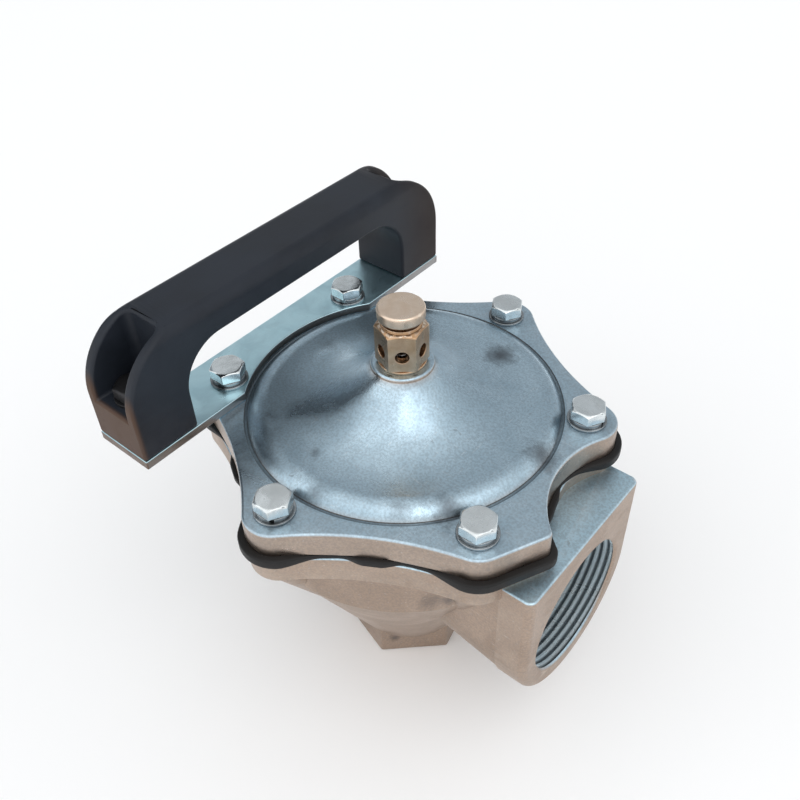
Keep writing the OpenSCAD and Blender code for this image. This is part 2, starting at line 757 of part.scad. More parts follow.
module push_button() {
    color(brass) translate([0, 0, button_z]) difference() {
        rotate_extrude() button_section();
        translate([0, 0, -cut]) cylinder(h = stem_socket + cut, r = stem_r + thread_gap);
    }
}

module pilot_stem() {
    color(brass) {
        translate([0, 0, stem_z]) cylinder(h = button_z + stem_socket - stem_z, r = stem_r);
        translate([0, 0, collar_z]) cylinder(h = collar_t, r = collar_r);
    }
}

module button_spring() {
    color(spring_steel) translate([0, 0, pilot_seat_z + seal_gap])
        coil((orifice_r + collar_r) / 2, button_wire_d, collar_z - pilot_seat_z - 2 * seal_gap, button_turns);
}

module poppet() {
    color(black_rubber) translate([0, 0, poppet_z]) ring(poppet_r, stem_r + thread_gap, poppet_t);
}

module poppet_nut() {
    color(brass) translate([0, 0, stem_z]) nut(poppet_nut_af, poppet_nut_h, stem_r + thread_gap);
}

valve_body();
bonnet();
diaphragm();
upper_disc();
seat_pad();
disc_screw();
disc_nut();
main_spring();
cover_bolts();
bracket_bolts();
spring_washers();
flat_washers();
handle_bracket();
handle();
handle_screws();
handle_washers();
handle_nuts();
pilot_body();
pilot_gasket();
pilot_seat();
push_button();
pilot_stem();
button_spring();
poppet();
poppet_nut();
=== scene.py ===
import math

import bmesh
import bpy
from mathutils import Matrix, Vector


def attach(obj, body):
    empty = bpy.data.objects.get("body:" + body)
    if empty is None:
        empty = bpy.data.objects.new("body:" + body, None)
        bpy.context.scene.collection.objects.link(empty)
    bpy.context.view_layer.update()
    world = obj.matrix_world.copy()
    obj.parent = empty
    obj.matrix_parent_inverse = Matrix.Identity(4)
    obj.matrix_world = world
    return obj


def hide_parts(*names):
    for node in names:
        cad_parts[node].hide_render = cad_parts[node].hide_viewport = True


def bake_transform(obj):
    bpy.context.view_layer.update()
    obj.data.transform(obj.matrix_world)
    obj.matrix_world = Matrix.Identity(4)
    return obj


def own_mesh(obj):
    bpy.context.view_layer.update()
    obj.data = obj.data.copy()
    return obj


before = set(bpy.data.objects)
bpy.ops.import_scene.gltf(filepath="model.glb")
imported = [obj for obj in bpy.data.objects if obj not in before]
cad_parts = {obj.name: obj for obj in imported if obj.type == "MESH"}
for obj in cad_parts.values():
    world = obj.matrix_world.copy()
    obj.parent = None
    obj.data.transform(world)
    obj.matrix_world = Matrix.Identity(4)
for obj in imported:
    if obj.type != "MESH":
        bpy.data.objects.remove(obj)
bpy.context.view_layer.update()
scene = bpy.context.scene
scene.view_settings.view_transform = "Standard"


# Sizes that pieces and finishes share, the same as in the CAD part

mm = 0.001
valve_axis = Vector((0, 0, 1))
port_axis = Vector((1, 0, 0))
deck_top = 104.8 * mm
sheet_low = 94.4 * mm
sheet_top = 95.8 * mm
bolt_circle_mm = 55.75
first_bolt_turn = math.radians(30)
bolt_turns = [first_bolt_turn + i * math.pi / 3 for i in range(6)]
bolt_places = [Vector((math.cos(turn), math.sin(turn))) * bolt_circle_mm * mm
               for turn in bolt_turns]
ear_turn_deg = -15.1
side_port_place = Vector((0, 0, 58.2)) * mm
side_crest_mm = 22.42
bottom_crest_mm = 15.15
thread_pitch = 2.309
thread_depth = 1.2


# Camera where the photograph was taken from

camera_place = Vector((0.130669, -0.152598, 0.288182))
camera_look = Vector((-0.48469, 0.55952, -0.67232)).normalized()
camera_side = Vector((0.77092, 0.63639, -0.02616)).normalized()
focal_length = 39.55
sensor_width = 36
nearest_seen = 0.01


def place_camera():
    lens = bpy.data.cameras.new("photo_camera")
    lens.lens = focal_length
    lens.sensor_width = sensor_width
    lens.clip_start = nearest_seen
    camera = bpy.data.objects.new("photo_camera", lens)
    camera_up = camera_side.cross(camera_look)
    turn = Matrix((camera_side, camera_up, -camera_look)).transposed()
    camera.matrix_world = Matrix.Translation(camera_place) @ turn.to_4x4()
    scene.collection.objects.link(camera)
    scene.camera = camera


# Small tools for shader nodes

mm_in_a_metre = 1000.0
# Sockets of the Mix node when it mixes colours
mix_share, mix_first, mix_second, mixed_colour = 0, 6, 7, 2


def add(tree, kind, inputs=None, **settings):
    made = tree.nodes.new("ShaderNode" + kind)
    for name, value in settings.items():
        setattr(made, name, value)
    for name, value in (inputs or {}).items():
        if isinstance(value, bpy.types.NodeSocket):
            tree.links.new(value, made.inputs[name])
        else:
            made.inputs[name].default_value = value
    return made


def work_out(tree, operation, first, second):
    return add(tree, "Math", {0: first, 1: second}, operation=operation).outputs[0]


def without_sign(tree, value):
    return add(tree, "Math", {0: value}, operation="ABSOLUTE").outputs[0]


def between(tree, value, low, high, to_low=0.0, to_high=1.0):
    inputs = {"Value": value, "From Min": low, "From Max": high,
              "To Min": to_low, "To Max": to_high}
    made = add(tree, "MapRange", inputs, interpolation_type="SMOOTHSTEP")
    return made.outputs["Result"]


def from_to(tree, mask, at_none, at_full):
    return between(tree, mask, 0.0, 1.0, at_none, at_full)


def colour_mix(tree, share, first, second):
    colours = [c if isinstance(c, bpy.types.NodeSocket) else (*c, 1.0) for c in (first, second)]
    inputs = {mix_share: share, mix_first: colours[0], mix_second: colours[1]}
    return add(tree, "Mix", inputs, data_type="RGBA").outputs[mixed_colour]


def tinted(tree, colour, mask, strength, shade):
    return colour_mix(tree, work_out(tree, "MULTIPLY", mask, strength), colour, shade)


def roughened(tree, roughness, mask, more):
    return work_out(tree, "ADD", roughness, work_out(tree, "MULTIPLY", mask, more))


def object_place(tree):
    return add(tree, "TexCoord").outputs["Object"]


def part_of(tree, vector, axis):
    return add(tree, "SeparateXYZ", {0: vector}).outputs[axis]


def vector_maths(tree, operation, first, second):
    return add(tree, "VectorMath", {0: first, 1: second}, operation=operation).outputs


def scaled(tree, place, scale):
    inputs = {0: place, "Scale": scale}
    return add(tree, "VectorMath", inputs, operation="SCALE").outputs["Vector"]


def distance_from_axis(tree, place, across):
    flat = vector_maths(tree, "MULTIPLY", place, across)["Vector"]
    return add(tree, "VectorMath", {0: flat}, operation="LENGTH").outputs["Value"]


def noise(tree, place, size_mm, detail, roughness=0.55, warp=0.0):
    inputs = {"Vector": place, "Scale": mm_in_a_metre / size_mm, "Detail": detail,
              "Roughness": roughness, "Distortion": warp}
    return add(tree, "TexNoise", inputs).outputs["Fac"]


def stretched(tree, place, scale, turn=(0, 0, 0)):
    inputs = {"Vector": place, "Scale": scale, "Rotation": turn}
    return add(tree, "Mapping", inputs).outputs["Vector"]


# Effects that several finishes share

number = "NodeSocketFloat"
position = "NodeSocketVector"


def new_group(name, inputs, outputs):
    group = bpy.data.node_groups.new(name, "ShaderNodeTree")
    for socket, kind, value in inputs:
        made = group.interface.new_socket(socket, in_out="INPUT", socket_type=kind)
        made.default_value = value
    for socket in outputs:
        group.interface.new_socket(socket, in_out="OUTPUT", socket_type=number)
    given = group.nodes.new("NodeGroupInput").outputs
    return group, given, group.nodes.new("NodeGroupOutput")


def put_out(group, sink, name, socket):
    group.links.new(socket, sink.inputs[name])


def make_metal_skin():
    group, given, sink = new_group(
        "metal_skin", (("Cloud Size", number, 1.0), ("Grain Size", number, 1.0)),
        ("Cloud", "Grain", "Scratch", "Pit"))
    place = object_place(group)
    cloud_place = scaled(group, place, given["Cloud Size"])
    grain_place = scaled(group, place, given["Grain Size"])
    cloud = noise(group, cloud_place, size_mm=22.0, detail=6.0, roughness=0.62, warp=0.6)
    put_out(group, sink, "Cloud", between(group, cloud, 0.32, 0.68))
    grain = noise(group, grain_place, size_mm=0.7, detail=3.0, roughness=0.6)
    put_out(group, sink, "Grain", grain)
    scratches = []
    for lines, turn in (((1.0, 14.0, 14.0), (0.2, 0.3, 0.5)),
                        ((14.0, 1.0, 14.0), (0.4, 0.1, -0.7))):
        line = noise(group, stretched(group, place, lines, turn), size_mm=9.0, detail=2.0)
        scratches.append(between(group, line, 0.66, 0.74))
    put_out(group, sink, "Scratch", work_out(group, "MAXIMUM", *scratches))
    pit = noise(group, grain_place, size_mm=3.4, detail=2.0, roughness=0.5)
    put_out(group, sink, "Pit", between(group, pit, 0.72, 0.78))
    return group


def make_edge_rub():
    group, given, sink = new_group(
        "edge_rub", (("Low", number, 0.51), ("High", number, 0.6)), ("Edge",))
    edge = add(group, "NewGeometry").outputs["Pointiness"]
    inputs = {"Value": edge, "From Min": given["Low"], "From Max": given["High"]}
    mask = add(group, "MapRange", inputs).outputs["Result"]
    patches = noise(group, object_place(group), size_mm=5.0, detail=4.0)
    broken = between(group, patches, 0.3, 0.6, to_low=0.35)
    put_out(group, sink, "Edge", work_out(group, "MULTIPLY", mask, broken))
    return group


def make_upward():
    group, given, sink = new_group(
        "upward", (("Low", number, 0.3), ("High", number, 0.8)), ("Up", "Level"))
    height = part_of(group, add(group, "TexCoord").outputs["Normal"], "Z")
    for name, value in (("Up", height), ("Level", without_sign(group, height))):
        put_out(group, sink, name, between(group, value, given["Low"], given["High"]))
    return group


def make_mark_and_shade_patch():
    group, given, sink = new_group(
        "mark_and_shade_patch", (("Place", position, (0, 0, 0)), ("Size", number, 0.004)), ("Mark",))
    place = object_place(group)
    away = vector_maths(group, "DISTANCE", place, given["Place"])["Value"]
    wander = noise(group, place, size_mm=4.0, detail=5.0, roughness=0.7)
    ragged = work_out(group, "MULTIPLY", away, between(group, wander, 0.25, 0.75, 0.7, 1.5))
    mask = between(group, ragged, 0.0, given["Size"], to_low=1.0, to_high=0.0)
    put_out(group, sink, "Mark", mask)
    return group


metal_skin = make_metal_skin()
edge_rub = make_edge_rub()
upward = make_upward()
mark_and_shade_patch = make_mark_and_shade_patch()


def effect(tree, group, inputs):
    made = tree.nodes.new("ShaderNodeGroup")
    made.node_tree = group
    for name, value in inputs.items():
        made.inputs[name].default_value = value
    return made.outputs


def new_finish(name, metallic, roughness=0.5):
    finish = bpy.data.materials.new(name)
    finish.use_nodes = True
    tree = finish.node_tree
    skin = tree.nodes["Principled BSDF"]
    skin.inputs["Metallic"].default_value = metallic
    skin.inputs["Roughness"].default_value = roughness
    return finish, tree, skin


def finish_off(tree, skin, colour, roughness, height, depth_mm):
    tree.links.new(colour, skin.inputs["Base Color"])
    tree.links.new(roughness, skin.inputs["Roughness"])
    bump = add(tree, "Bump", {"Height": height, "Strength": 1.0, "Distance": depth_mm * mm})
    tree.links.new(bump.outputs["Normal"], skin.inputs["Normal"])


# Finishes

facing_up = {"Low": 0.25, "High": 0.75}
worn_edges = {"Low": 0.52, "High": 0.62}
across_valve = (1, 1, 0)

cast_scratch = (0.80, 0.82, 0.83)
cast_pit = (0.22, 0.22, 0.22)
cast_speckle = (0.16, 0.17, 0.18)
# Rubbed edges are worn bright, pale on up-facing faces and tan on upright ones; that split is a
# painted reflection
rubbed_side_painted_warm_reflection = (0.62, 0.54, 0.47)
rubbed_top_painted_cool_reflection = (0.88, 0.92, 0.94)
# Painted shade for the groove round the dome's foot
groove_painted_shade = (0.05, 0.06, 0.07)
groove_fade_mm = 0.2
mark_and_shade_colour = (0.07, 0.075, 0.085)

thread_dull = (0.70, 0.82, 0.88)
thread_bright = (0.84, 0.94, 0.98)
thread_root_painted_shade = (0.16, 0.19, 0.21)
thread_fade_mm = 0.1

rubber_dark = (0.006, 0.006, 0.006)
rubber_pale = (0.016, 0.015, 0.015)

zinc_scratch = (0.82, 0.84, 0.84)
zinc_pit = (0.20, 0.20, 0.19)
zinc_edge = (0.88, 0.89, 0.89)
brown_cut_end = (0.13, 0.08, 0.055)
cut_end_from, cut_end_full = 67.2 * mm, 67.6 * mm

brass_side_painted_shade = (0.20, 0.14, 0.09)
brass_pit = (0.14, 0.10, 0.07)
brass_edge = (0.95, 0.85, 0.72)

wire_dark = (0.26, 0.27, 0.28)
wire_bright = (0.46, 0.47, 0.49)

plastic_dark = (0.0125, 0.0155, 0.0215)
plastic_pale = (0.0190, 0.0235, 0.0325)
plastic_smear = (0.022, 0.028, 0.039)
plastic_edge = (0.060, 0.064, 0.072)
# Painted warm reflection on the handle's ends and its far end
handle_end_painted_reflection = (0.085, 0.046, 0.028)
handle_end_from, handle_end_full = 66.0 * mm, 67.7 * mm
far_end_painted_reflection = (0.019, 0.010, 0.007)
far_end_from, far_end_full = 40.0 * mm, 67.0 * mm


def cast_aluminium(name, tops_painted_cool_reflection, tops_dull_painted_cool_reflection, sides_painted_light, sides_dull_painted_warm_reflection, smooth, rough, marks_and_shade,
                   rubbed_beyond_mm, groove_mm=None):
    finish, tree, skin = new_finish(name, metallic=1.0)
    cast = effect(tree, metal_skin, {"Cloud Size": 1.0, "Grain Size": 1.0})
    edge = effect(tree, edge_rub, {"Low": 0.515, "High": 0.60})["Edge"]
    up = effect(tree, upward, facing_up)["Up"]
    # Up-facing faces take the tops colours, a painted cool reflection, and upright faces the sides
    # colours, a painted warm reflection
    painted_top_reflection_colour = colour_mix(tree, cast["Cloud"], tops_dull_painted_cool_reflection, tops_painted_cool_reflection)
    painted_side_colour = colour_mix(tree, cast["Cloud"], sides_dull_painted_warm_reflection, sides_painted_light)
    colour = colour_mix(tree, up, painted_side_colour, painted_top_reflection_colour)
    roughness = from_to(tree, cast["Cloud"], rough, smooth)
    colour = tinted(tree, colour, cast["Scratch"], 0.25, cast_scratch)
    colour = tinted(tree, colour, cast["Pit"], 0.35, cast_pit)
    speckle = between(tree, cast["Grain"], 0.38, 0.64, to_high=0.28)
    colour = colour_mix(tree, speckle, colour, cast_speckle)
    radius = distance_from_axis(tree, object_place(tree), across_valve)
    beyond = work_out(tree, "GREATER_THAN", radius, rubbed_beyond_mm * mm)
    edge = work_out(tree, "MULTIPLY", edge, beyond)
    colour = tinted(tree, colour, edge, 0.5, colour_mix(tree, up, rubbed_side_painted_warm_reflection, rubbed_top_painted_cool_reflection))
    # A ring of painted shade in the groove round the dome's foot, made rougher as well
    if groove_mm:
        low_mm, high_mm = groove_mm
        inside = between(tree, radius, (low_mm - groove_fade_mm) * mm, low_mm * mm)
        outside = between(tree, radius, high_mm * mm, (high_mm + groove_fade_mm) * mm)
        groove_shade_mask = work_out(tree, "SUBTRACT", inside, outside)
        colour = tinted(tree, colour, groove_shade_mask, 0.6, groove_painted_shade)
        roughness = roughened(tree, roughness, groove_shade_mask, 0.3)
    height = work_out(tree, "SUBTRACT", cast["Grain"], cast["Pit"])
    # Dark patches with dents from the mark lists; the rings round the washers are painted shade
    # and have no dent
    for place, size_mm, strength, dent in marks_and_shade:
        mark = effect(tree, mark_and_shade_patch, {"Place": place, "Size": size_mm * mm})["Mark"]
        colour = tinted(tree, colour, mark, strength, mark_and_shade_colour)
        height = work_out(tree, "SUBTRACT", height, work_out(tree, "MULTIPLY", mark, dent))
    finish_off(tree, skin, colour, roughness, height, depth_mm=0.028)
    return finish


def cut_thread(name, axis_from, across, crest_mm, root_mm):
    finish, tree, skin = new_finish(name, metallic=0.55)
    cut = effect(tree, metal_skin, {"Cloud Size": 1.6, "Grain Size": 1.5})
    away = vector_maths(tree, "SUBTRACT", object_place(tree), axis_from)["Vector"]
    radius = distance_from_axis(tree, away, across)
    # Painted shade darkens the thread roots against the crests
    root_shade = between(tree, radius, (crest_mm + thread_fade_mm) * mm, (root_mm - thread_fade_mm) * mm)
    colour = colour_mix(tree, cut["Cloud"], thread_dull, thread_bright)
    colour = colour_mix(tree, root_shade, colour, thread_root_painted_shade)
    roughness = from_to(tree, cut["Cloud"], 0.36, 0.24)
    finish_off(tree, skin, colour, roughness, cut["Grain"], depth_mm=0.01)
    return finish


def black_rubber():
    finish, tree, skin = new_finish("black_rubber", metallic=0.0)
    skin.inputs["Specular IOR Level"].default_value = 0.3
    place = object_place(tree)
    cloud = between(tree, noise(tree, place, size_mm=9.0, detail=4.0), 0.3, 0.7)
    colour = colour_mix(tree, cloud, rubber_dark, rubber_pale)
    grain = noise(tree, place, size_mm=0.6, detail=3.0)
    finish_off(tree, skin, colour, from_to(tree, cloud, 0.48, 0.68), grain, depth_mm=0.06)
    return finish


def zinc_plate(name, bright, dull, lines, smooth, rough, worn=1.0, sides_painted_light=None):
    finish, tree, skin = new_finish(name, metallic=1.0)
    plate = effect(tree, metal_skin, {"Cloud Size": 2.2, "Grain Size": 1.6})
    edge = effect(tree, edge_rub, worn_edges)["Edge"]
    place = object_place(tree)
    rolled = noise(tree, stretched(tree, place, lines), size_mm=1.2, detail=3.0)
    colour = colour_mix(tree, plate["Cloud"], dull, bright)
    # Upright faces take the darker sides colour, a painted shade, browner at the cut ends
    if sides_painted_light:
        along = without_sign(tree, part_of(tree, place, "Y"))
        cut_end = between(tree, along, cut_end_from, cut_end_full)
        painted_side_colour = colour_mix(tree, cut_end, sides_painted_light, brown_cut_end)
        level = effect(tree, upward, facing_up)["Level"]
        colour = colour_mix(tree, level, painted_side_colour, colour)
    colour = tinted(tree, colour, plate["Scratch"], 0.3 * worn, zinc_scratch)
    colour = tinted(tree, colour, plate["Pit"], 0.3 * worn, zinc_pit)
    colour = tinted(tree, colour, edge, 0.5 * worn, zinc_edge)
    uneven = between(tree, rolled, 0.3, 0.7, to_low=-0.05, to_high=0.05)
    roughness = work_out(tree, "ADD", from_to(tree, plate["Cloud"], rough, smooth), uneven)
    finish_off(tree, skin, colour, roughness, rolled, depth_mm=0.012)
    return finish


def turned_brass(name, bright, dull, painted_side_shade):
    finish, tree, skin = new_finish(name, metallic=1.0)
    turned = effect(tree, metal_skin, {"Cloud Size": 4.0, "Grain Size": 2.0})
    edge = effect(tree, edge_rub, worn_edges)["Edge"]
    rings_place = stretched(tree, object_place(tree), (0.02, 0.02, 1.0))
    rings = noise(tree, rings_place, size_mm=0.35, detail=2.0)
    up = effect(tree, upward, facing_up)["Up"]
    colour = colour_mix(tree, turned["Cloud"], dull, bright)
    # Upright faces darken towards a brown: painted shade on the sides
    colour = colour_mix(tree, from_to(tree, up, painted_side_shade, 0.0), colour, brass_side_painted_shade)
    colour = tinted(tree, colour, turned["Pit"], 0.5, brass_pit)
    colour = tinted(tree, colour, edge, 0.75, brass_edge)
    roughness = from_to(tree, turned["Cloud"], 0.42, 0.26)
    finish_off(tree, skin, colour, roughness, rings, depth_mm=0.012)
    return finish


def drawn_wire():
    finish, tree, skin = new_finish("drawn_wire", metallic=1.0)
    drawn = effect(tree, metal_skin, {"Cloud Size": 3.0, "Grain Size": 1.5})
    colour = colour_mix(tree, drawn["Cloud"], wire_dark, wire_bright)
    roughness = from_to(tree, drawn["Cloud"], 0.42, 0.28)
    finish_off(tree, skin, colour, roughness, drawn["Grain"], depth_mm=0.01)
    return finish


def moulded_plastic():
    finish, tree, skin = new_finish("moulded_plastic", metallic=0.0)
    skin.inputs["Specular IOR Level"].default_value = 0.22
    place = object_place(tree)
    cloud = noise(tree, place, size_mm=26.0, detail=5.0, roughness=0.6)
    cloud = between(tree, cloud, 0.3, 0.7)
    smear_place = stretched(tree, place, (3.0, 0.6, 3.0))
    smear = noise(tree, smear_place, size_mm=12.0, detail=4.0, roughness=0.65)
    smear = between(tree, smear, 0.5, 0.8)
    edge = effect(tree, edge_rub, {"Low": 0.52, "High": 0.66})["Edge"]
    along = part_of(tree, place, "Y")
    # Both ends and the far end of the handle turn brown, a painted warm reflection, and are
    # rougher there too
    end_reflection_mask = between(tree, without_sign(tree, along), handle_end_from, handle_end_full)
    far_reflection_mask = between(tree, along, far_end_from, far_end_full)
    colour = colour_mix(tree, cloud, plastic_dark, plastic_pale)
    colour = tinted(tree, colour, smear, 0.5, plastic_smear)
    colour = tinted(tree, colour, end_reflection_mask, 0.9, handle_end_painted_reflection)
    colour = tinted(tree, colour, far_reflection_mask, 0.85, far_end_painted_reflection)
    colour = tinted(tree, colour, edge, 0.5, plastic_edge)
    roughness = work_out(tree, "ADD", from_to(tree, cloud, 0.36, 0.46),
                         from_to(tree, smear, 0.0, 0.08))
    roughness = roughened(tree, roughness, work_out(tree, "MAXIMUM", end_reflection_mask, far_reflection_mask), 0.15)
    grain = noise(tree, place, size_mm=0.55, detail=3.0, roughness=0.6)
    finish_off(tree, skin, colour, roughness, grain, depth_mm=0.035)
    return finish


def spot(x_mm, y_mm, z_mm):
    return (x_mm * mm, y_mm * mm, z_mm * mm)


# Each mark is a place, its size in mm, how dark it is and how deep it is
dome_marks = (
    (spot(12.3, 34.0, 107.9), 8.5, 0.85, 3.0),
    (spot(46.6, 5.8, 106.3), 8.0, 0.8, 5.0),
    (spot(38.2, -27.3, 106.2), 8.0, 0.8, 5.0),
    (spot(6.1, -46.0, 106.8), 5.5, 0.5, 3.0),
    (spot(28.5, -36.3, 107.0), 6.0, 0.45, 3.0),
    (spot(-4.5, -34.6, 107.8), 3.0, 0.5, 2.0),
    (spot(-34.7, 4.1, 107.8), 5.0, 0.3, 2.0))
# Painted contact shade in a ragged ring round each washer, with no dent
painted_shade_round_washers = tuple(((bolt.x, bolt.y, deck_top), 11.0, 0.25, 0.0) for bolt in bolt_places)
body_marks = (
    (spot(42.6, -32.9, 75.3), 3.5, 0.6, 3.0),
    (spot(39.5, -36.5, 75.6), 6.5, 0.4, 2.0),
    (spot(9.4, -20.1, 7.6), 3.5, 0.6, 3.0))
even_lines = (1.0, 1.0, 0.3)
rolled_lines = (6.0, 0.15, 6.0)

# Each cast finish's tops colours carry a painted cool reflection and its sides colours a painted
# warm reflection
bonnet_metal = cast_aluminium(
    "polished_cast_aluminium", tops_painted_cool_reflection=(0.50, 0.65, 0.75), tops_dull_painted_cool_reflection=(0.38, 0.51, 0.60),
    sides_painted_light=(0.48, 0.385, 0.32), sides_dull_painted_warm_reflection=(0.41, 0.325, 0.265), smooth=0.25, rough=0.38,
    marks_and_shade=dome_marks + painted_shade_round_washers, rubbed_beyond_mm=50.0, groove_mm=(48.3, 49.3))
body_metal = cast_aluminium(
    "plain_cast_aluminium", tops_painted_cool_reflection=(0.51, 0.69, 0.79), tops_dull_painted_cool_reflection=(0.42, 0.58, 0.68),
    sides_painted_light=(0.46, 0.35, 0.275), sides_dull_painted_warm_reflection=(0.40, 0.305, 0.24), smooth=0.38, rough=0.50,
    marks_and_shade=body_marks, rubbed_beyond_mm=0.0)
rubber = black_rubber()
bolt_zinc = zinc_plate(
    "plated_bolt", bright=(0.80, 0.86, 0.88), dull=(0.58, 0.62, 0.63),
    lines=even_lines, smooth=0.20, rough=0.34)
washer_zinc = zinc_plate(
    "dull_washer_zinc", bright=(0.34, 0.37, 0.39), dull=(0.15, 0.165, 0.175),
    lines=even_lines, smooth=0.24, rough=0.38, worn=0.5)
# The strip's sides colour is painted shade on its upright faces
strip_zinc = zinc_plate(
    "plated_strip", bright=(0.54, 0.79, 0.87), dull=(0.45, 0.67, 0.75),
    lines=rolled_lines, smooth=0.32, rough=0.42, worn=0.3, sides_painted_light=(0.29, 0.28, 0.28))
black_steel = zinc_plate(
    "blackened_steel", bright=(0.050, 0.050, 0.053), dull=(0.026, 0.026, 0.028),
    lines=even_lines, smooth=0.40, rough=0.52, worn=0.06)
button_brass = turned_brass(
    "button_brass", bright=(0.84, 0.69, 0.56), dull=(0.68, 0.54, 0.42), painted_side_shade=0.4)
hexagon_brass = turned_brass(
    "hexagon_brass", bright=(0.52, 0.33, 0.19), dull=(0.35, 0.21, 0.115), painted_side_shade=0.15)
wire = drawn_wire()
plastic = moulded_plastic()


# Tools for shapes

joined_within = 0.002 * mm
flat_within = math.radians(0.5)
rounded_from = 30.0
piece_crease = 50.0


def settle(name, bm, finish, body="valve", sharp=None):
    mesh = bpy.data.meshes.new(name)
    bm.to_mesh(mesh)
    bm.free()
    mesh.materials.append(finish)
    for face in mesh.polygons:
        face.use_smooth = True
    if sharp is not None:
        mesh.set_sharp_from_angle(angle=math.radians(sharp))
    piece = bpy.data.objects.new(name, mesh)
    scene.collection.objects.link(piece)
    if body:
        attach(piece, body)
    return piece


def joined_copy(node):
    bm = bmesh.new()
    bm.from_mesh(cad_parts[node].data)
    bmesh.ops.remove_doubles(bm, verts=bm.verts, dist=joined_within)
    return bm


def plain_copy(node):
    bm = joined_copy(node)
    bmesh.ops.dissolve_limit(bm, angle_limit=flat_within, verts=bm.verts, edges=bm.edges)
    return bm


def soften(bm, edges, edge_mm, segments):
    made = bmesh.ops.bevel(bm, geom=edges, offset=edge_mm * mm, offset_type="OFFSET",
                           segments=segments, profile=0.5, affect="EDGES",
                           clamp_overlap=False, material=-1)
    return set(made["faces"])


def round_edges(bm, edge_mm, segments, angle=rounded_from, wanted=None):
    sharp = [e for e in bm.edges if e.is_manifold and e.calc_face_angle() > math.radians(angle)
             and (wanted is None or wanted(e))]
    return soften(bm, sharp, edge_mm, segments)


def even_shading(piece):
    even = piece.modifiers.new("even_shading", "WEIGHTED_NORMAL")
    even.keep_sharp = True
    return piece


def rounded_piece(name, node, edge_mm, finish, body="valve", segments=2,
                  angle=rounded_from, wanted=None):
    bm = plain_copy(node)
    round_edges(bm, edge_mm, segments, angle, wanted)
    piece = even_shading(settle(name, bm, finish, body, sharp=piece_crease))
    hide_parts(node)


def middle_of(edge):
    return (edge.verts[0].co + edge.verts[1].co) / 2


def is_level(edge, within):
    return abs(edge.verts[0].co.z - edge.verts[1].co.z) < within


def away_from_axis(point, axis_from, axis):
    out = point - axis_from
    return out - axis * out.dot(axis)


# Cast body and bonnet

bore_slack = 0.06 * mm
bore_slope = 0.2
bore_least = 0.9
bonnet_rim_from = 49.6 * mm
neck_rim_from = 9.4 * mm
neck_top_from = 121.9 * mm
flange_underside, underside_slack = 85.6 * mm, 0.3 * mm
port_band, band_slack = 57.3 * mm, 0.8 * mm
ribs_reach = 56.4 * mm
ribs_low, ribs_high = 13 * mm, 85.3 * mm
body_edge_mm, body_edge_segments = 0.7, 4
body_crease = 17.0
level_crease = 30.0
level_slack = 0.02 * mm
wall_slope = 0.95
facet_step_mm = 3
cut_slack = 0.001 * mm
bowl_facets_mm = (14, 86)
block_facets_mm = (24, 58)


def is_bore_face(face, radius_mm, axis_from, axis):
    for vert in face.verts:
        out = away_from_axis(vert.co, axis_from, axis)
        if abs(out.length - radius_mm * mm) > bore_slack:
            return False
    middle = away_from_axis(face.calc_center_median(), axis_from, axis)
    along_bore = abs(face.normal.dot(axis)) < bore_slope
    return along_bore and middle.length > bore_least * radius_mm * mm


def on_bonnet_rim(edge):
    middle = middle_of(edge)
    radius = middle.xy.length
    return radius > bonnet_rim_from or (radius > neck_rim_from and middle.z > neck_top_from)


def on_body_outside(edge):
    middle = middle_of(edge)
    under_flange = abs(middle.z - flange_underside) < underside_slack
    at_band = abs(middle.x - port_band) < band_slack
    on_ribs = middle.x < ribs_reach and ribs_low < middle.z < ribs_high
    return edge.is_convex and not under_flange and not at_band and not on_ribs


def is_crease(edge):
    least = level_crease if is_level(edge, level_slack) else body_crease
    return edge.calc_face_angle(0.0) > math.radians(least)


def shorten_facets(bm, first_mm, last_mm, axis):
    for cut_mm in range(first_mm, last_mm, facet_step_mm):
        walls = [f for f in bm.faces if abs(f.normal.z) < wall_slope]
        edges = {e for f in walls for e in f.edges}
        verts = {v for f in walls for v in f.verts}
        bmesh.ops.bisect_plane(bm, geom=[*verts, *edges, *walls], dist=cut_slack,
                               plane_co=axis * cut_mm * mm, plane_no=axis)


# Creases are marked before the long facets are cut, so that shading stays clean at the ribs
def cast_body():
    bm = plain_copy("valve_body")
    bores = [f for f in bm.faces if is_bore_face(f, side_crest_mm, side_port_place, port_axis)]
    bores += [f for f in bm.faces if is_bore_face(f, bottom_crest_mm, Vector(), valve_axis)]
    bmesh.ops.delete(bm, geom=bores, context="FACES")
    rounded = round_edges(bm, body_edge_mm, body_edge_segments, wanted=on_body_outside)
    for edge in bm.edges:
        edge.smooth = all(f in rounded for f in edge.link_faces) or not is_crease(edge)
    shorten_facets(bm, *bowl_facets_mm, valve_axis)
    shorten_facets(bm, *block_facets_mm, port_axis)
    piece = even_shading(settle("cast_body", bm, body_metal))
    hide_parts("valve_body")


# Thread ridges, which stand in for the plain bore walls of the two ports

ridge_shape = ((0.0, 0.0), (0.14, 0.0), (0.42, 1.0), (0.58, 1.0), (0.86, 0.0), (1.0, 0.0))
ridge_steps = 96
spare_turns = 2
ridge_crease = 25.0
ridge_join = 0.01 * mm
ridge_cut_slack = 0.0001 * mm
side_thread_start = side_port_place + Vector((48 * mm, 0, 0))
side_thread_mm = 19.0
bottom_thread_start = Vector((0, 0, 0.8 * mm))
bottom_thread_mm = 18.0


